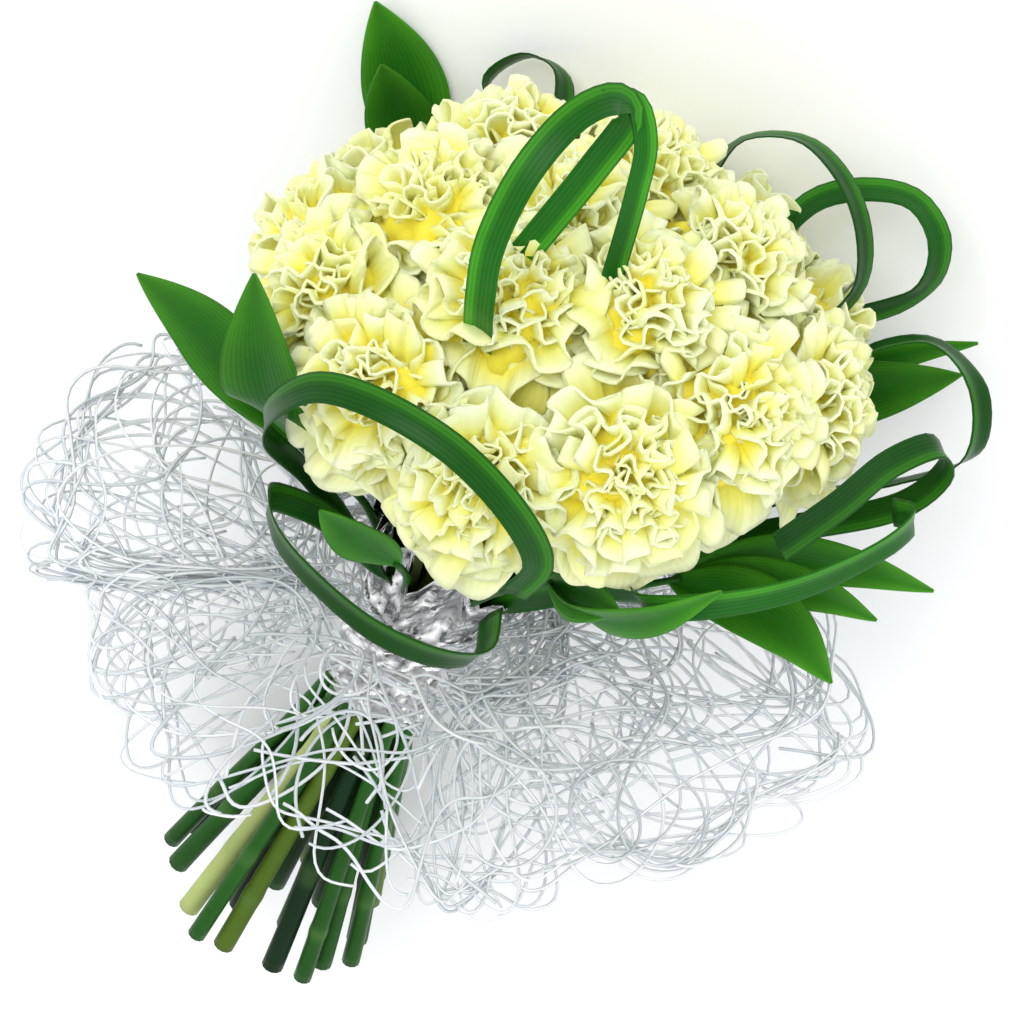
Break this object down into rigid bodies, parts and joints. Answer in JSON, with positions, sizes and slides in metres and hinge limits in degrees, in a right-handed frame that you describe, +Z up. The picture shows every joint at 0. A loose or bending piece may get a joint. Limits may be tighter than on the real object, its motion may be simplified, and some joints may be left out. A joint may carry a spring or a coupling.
{
  "type": "bunch of carnations",
  "caption": "Domed bunch of pale yellow carnations with pointed leaves and looped grass blades, gathered in a silver sleeve under a net collar of white strands, lying on its side.",
  "frame": {"origin": "middle of the bunch's footprint, on the surface that it lies on", "axes": "+Z up from the surface; +Y along the bunch towards the cut stem ends, so the flowers are at -Y; +X across it"},
  "size_m": [0.3606, 0.4996, 0.2537],
  "materials": {
    "petal": "soft, thin and slightly translucent petals, deeper yellow at the heart",
    "stem": "fresh green, waxy",
    "leaf": "glossy, with fine lengthwise veins",
    "blade": "glossy, with fine lengthwise veins",
    "sleeve": "crumpled silver foil",
    "strand": "satin white strands"
  },
  "bodies": {
    "root": {"bloom_1": "petal", "bloom_2": "petal", "bloom_3": "petal", "bloom_4": "petal", "bloom_5": "petal", "bloom_6": "petal", "bloom_7": "petal", "bloom_8": "petal", "bloom_9": "petal", "bloom_10": "petal", "bloom_11": "petal", "bloom_12": "petal", "bloom_13": "petal", "bloom_14": "petal", "bloom_15": "petal", "bloom_16": "petal", "bloom_17": "petal", "bloom_18": "petal", "bloom_19": "petal", "stem_1": "stem", "stem_2": "stem", "stem_3": "stem", "stem_4": "stem", "stem_5": "stem", "stem_6": "stem", "stem_7": "stem", "stem_8": "stem", "stem_9": "stem", "stem_10": "stem", "stem_11": "stem", "stem_12": "stem", "stem_13": "stem", "stem_14": "stem", "stem_15": "stem", "stem_16": "stem", "stem_17": "stem", "stem_18": "stem", "stem_19": "stem", "spray_left": "leaf", "spray_top_left": "leaf", "spray_right": "leaf", "spray_lower_right": "leaf", "spray_bottom": "leaf", "spray_bottom_left": "leaf", "grass_blade_front": "blade", "grass_blade_lower": "blade", "grass_blade_top": "blade", "grass_blade_right_thin": "blade", "grass_blade_right_wide": "blade", "grass_blade_right_low": "blade", "grass_blade_bottom_wide": "blade", "grass_blade_bottom_thin": "blade", "grass_blade_back": "blade", "tie_sleeve": "sleeve", "strand_collar": "strand"}
  },
  "joints": []
}
